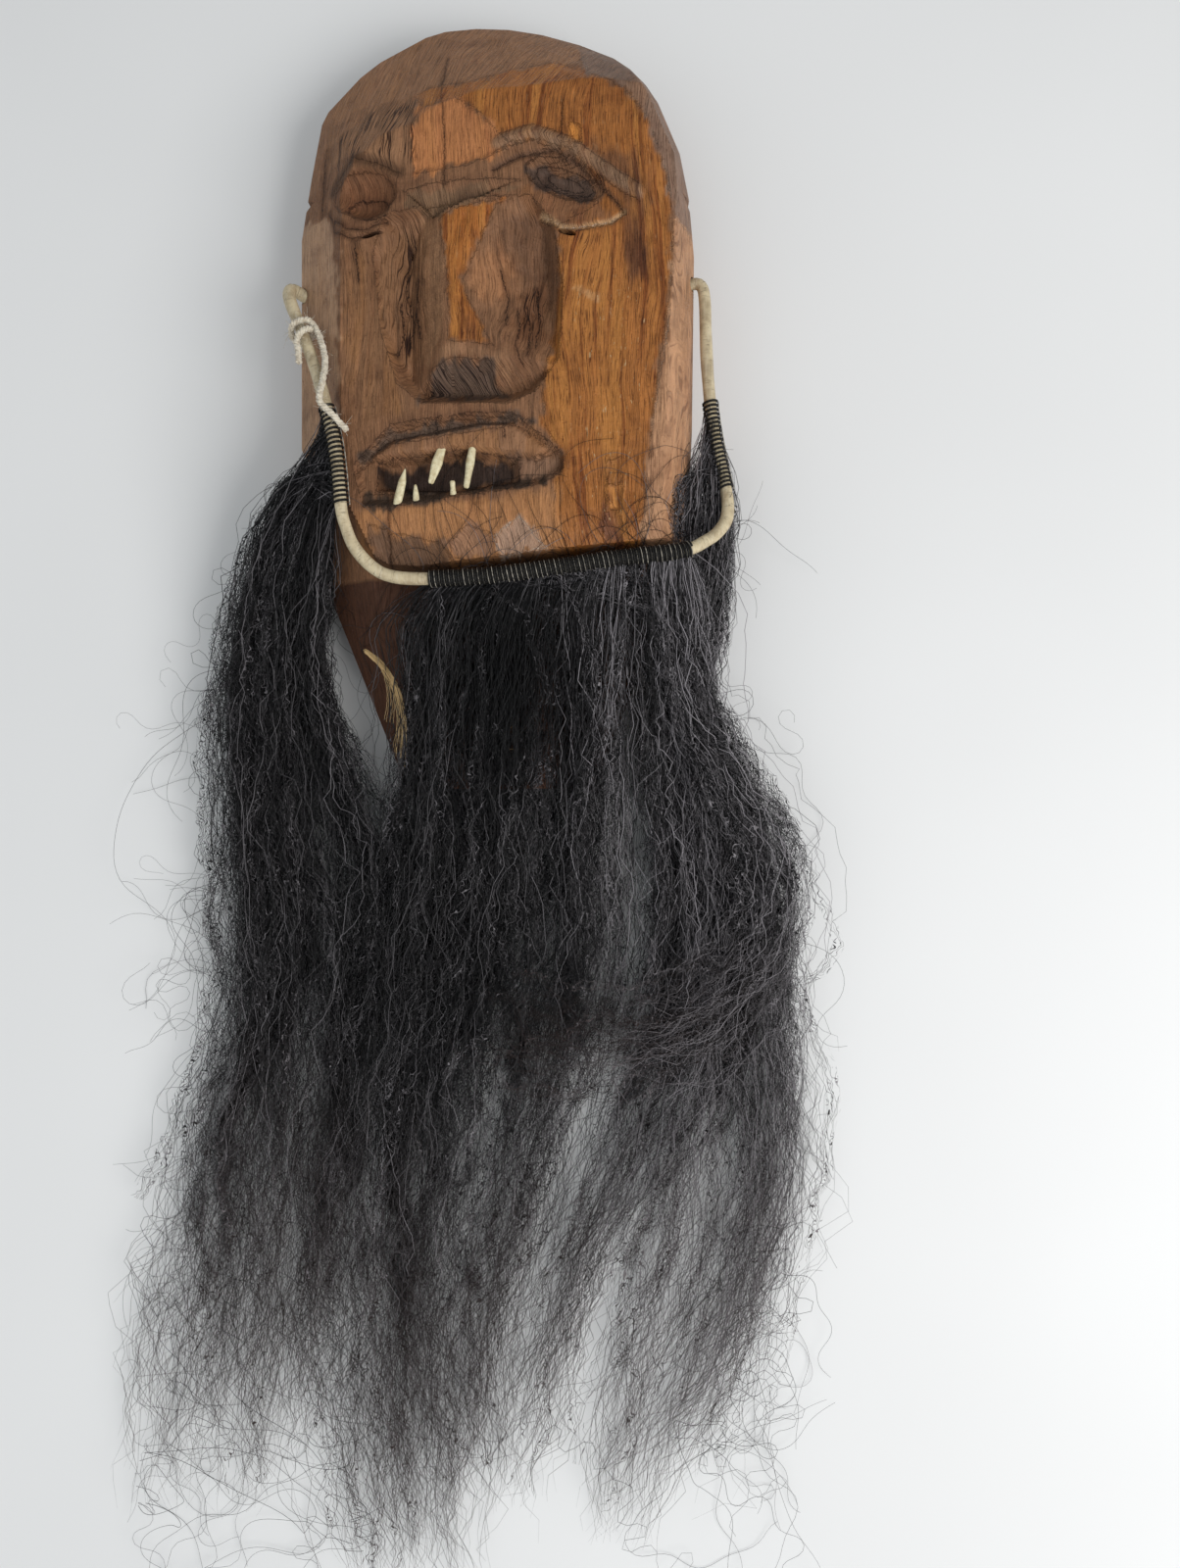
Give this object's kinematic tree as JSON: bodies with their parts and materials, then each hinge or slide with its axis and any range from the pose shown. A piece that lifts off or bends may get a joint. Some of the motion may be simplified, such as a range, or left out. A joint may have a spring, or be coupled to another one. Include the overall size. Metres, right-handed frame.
{
  "type": "wooden folk mask",
  "caption": "Flat-hewn wooden face mask with a ridge nose, slanted eyes, bone teeth and a long black hair beard lashed to a bent rod, lying on its back.",
  "frame": {"origin": "middle of the bounding box in plan, on the surface that the mask lies on", "axes": "+Y from the tips of the beard to the crown, +X to the right as one looks at the face, +Z out of the face, away from the surface"},
  "size_m": [0.3152, 0.711, 0.0646],
  "materials": {
    "wood": "hewn, unpainted, oiled by handling",
    "bone": "bone pegs, worn smooth",
    "cane": "peeled cane, dull, crazed across",
    "black_thread": "waxed thread",
    "cotton_string": "twisted cotton",
    "black_hair": "coarse black hair with a soft sheen"
  },
  "bodies": {
    "root": {"tooth_1": "bone", "tooth_2": "bone", "tooth_3": "bone", "tooth_4": "bone", "tooth_5": "bone", "mask": "wood", "beard_frame": "cane", "lashing_left": "black_thread", "lashing_chin": "black_thread", "lashing_right": "black_thread", "tie_string": "cotton_string", "beard_left": "black_hair", "beard_chin": "black_hair", "beard_right": "black_hair"}
  },
  "joints": []
}
